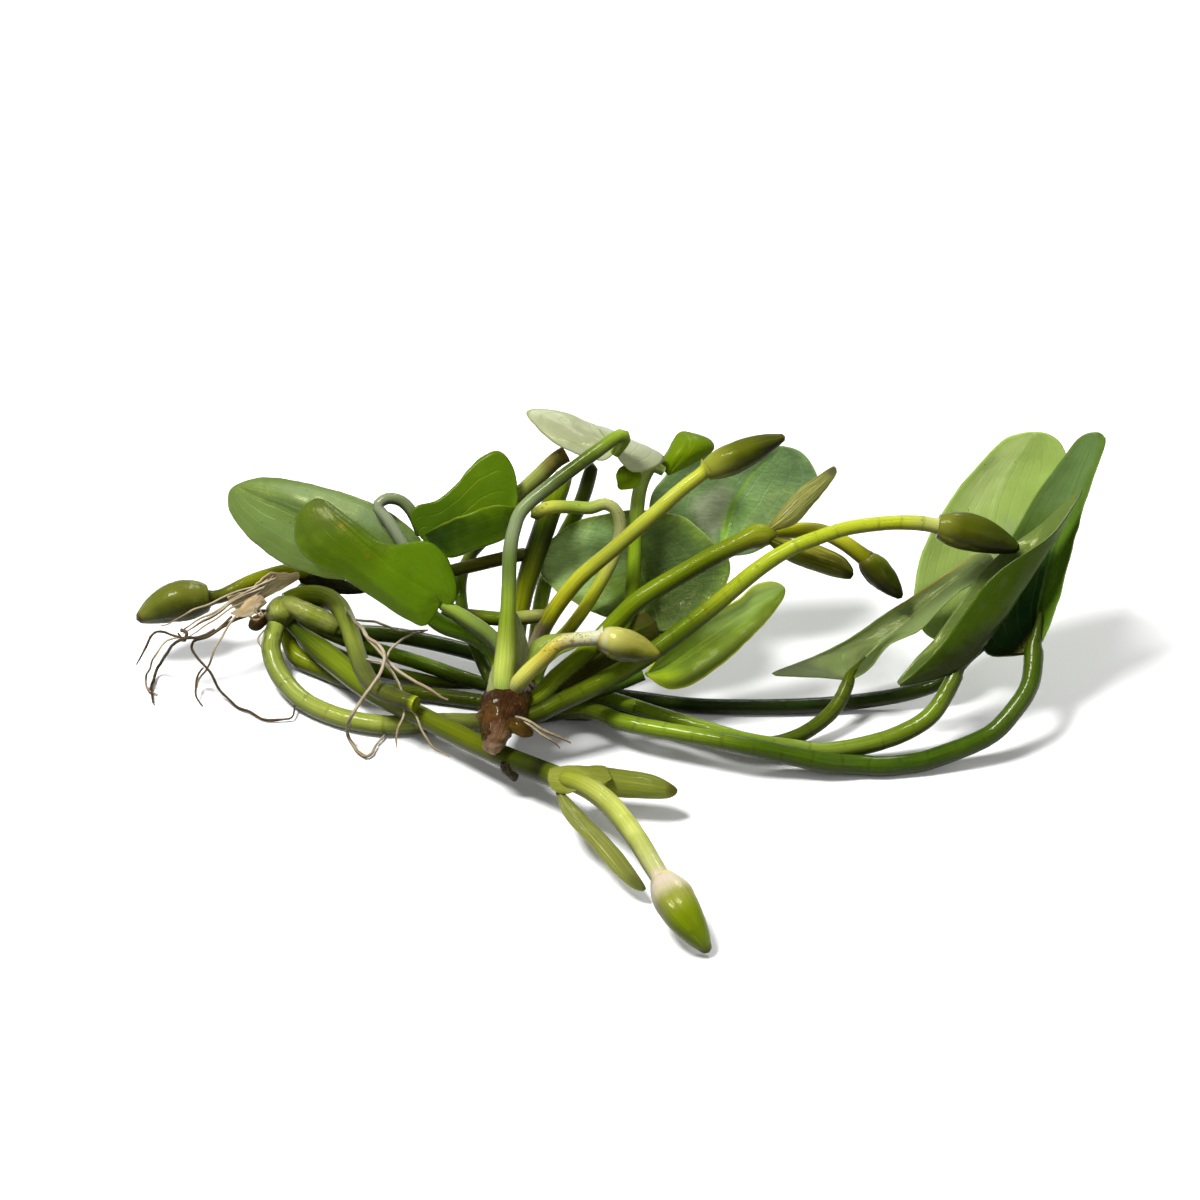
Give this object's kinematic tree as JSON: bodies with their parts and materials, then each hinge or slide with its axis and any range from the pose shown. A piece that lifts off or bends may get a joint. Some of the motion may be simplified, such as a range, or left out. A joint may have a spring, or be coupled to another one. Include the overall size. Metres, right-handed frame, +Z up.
{
  "type": "water poppy plant",
  "caption": "Bare-rooted water poppy plant lying down, with rounded floating leaves, arching petioles, closed flower buds, a runner and fine hanging roots.",
  "frame": {"origin": "the middle of the underside of the plant's bounding box, on the table it lies on", "axes": "+X to the right along the long petioles as the plant is seen from the front, +Y to the back where the petioles and flower stalks lean, +Z up from the table"},
  "size_m": [0.295, 0.168, 0.0856],
  "materials": {
    "crown": "satin",
    "stem": "satin",
    "leaf": "satin",
    "bud": "satin",
    "bract": "matte",
    "root": "matte"
  },
  "bodies": {
    "root": {"left_crown": "crown", "root_stub": "root", "left_bud_stalk": "stem", "left_bud": "bud", "dry_sheath": "bract", "petiole_low": "stem", "petiole_rear": "stem", "petiole_upper": "stem", "petiole_inner": "stem", "spare_shoot": "stem", "runner": "stem", "cut_stem": "stem", "front_bract_upper": "bract", "front_bract_lower": "bract", "front_bud_stalk": "stem", "front_bud": "bud", "center_crown": "crown", "petiole_tall": "stem", "yellow_stalk": "stem", "yellow_bud": "bud", "pale_sheath": "bract", "upper_stalk": "stem", "upper_bud": "bud", "middle_stalk": "stem", "long_stalk": "stem", "long_bud": "bud", "arched_stem": "stem", "green_stem": "stem", "wide_petiole": "stem", "dark_stem": "stem", "tan_bract": "bract", "olive_bract": "bract", "dark_bud_stalk": "stem", "dark_bud": "bud", "leaf_front_left": "leaf", "petiole_front_left": "stem", "leaf_back_left": "leaf", "petiole_back_left": "stem", "leaf_folded": "leaf", "petiole_hooked": "stem", "leaf_pale_top": "leaf", "leaf_small_curled": "leaf", "leaf_dark_glossy": "leaf", "petiole_dark_glossy": "stem", "leaf_upper_right": "leaf", "petiole_upper_right": "stem", "leaf_lower_right": "leaf", "petiole_lower_right": "stem", "cut_back_stem": "stem", "brown_back_stem": "stem", "side_runner": "stem", "leaf_right_pale": "leaf", "leaf_right_boat": "leaf", "leaf_right_tall": "leaf", "leaf_right_folded": "leaf", "left_roots": "root", "middle_roots": "root", "center_roots": "root"}
  },
  "joints": []
}
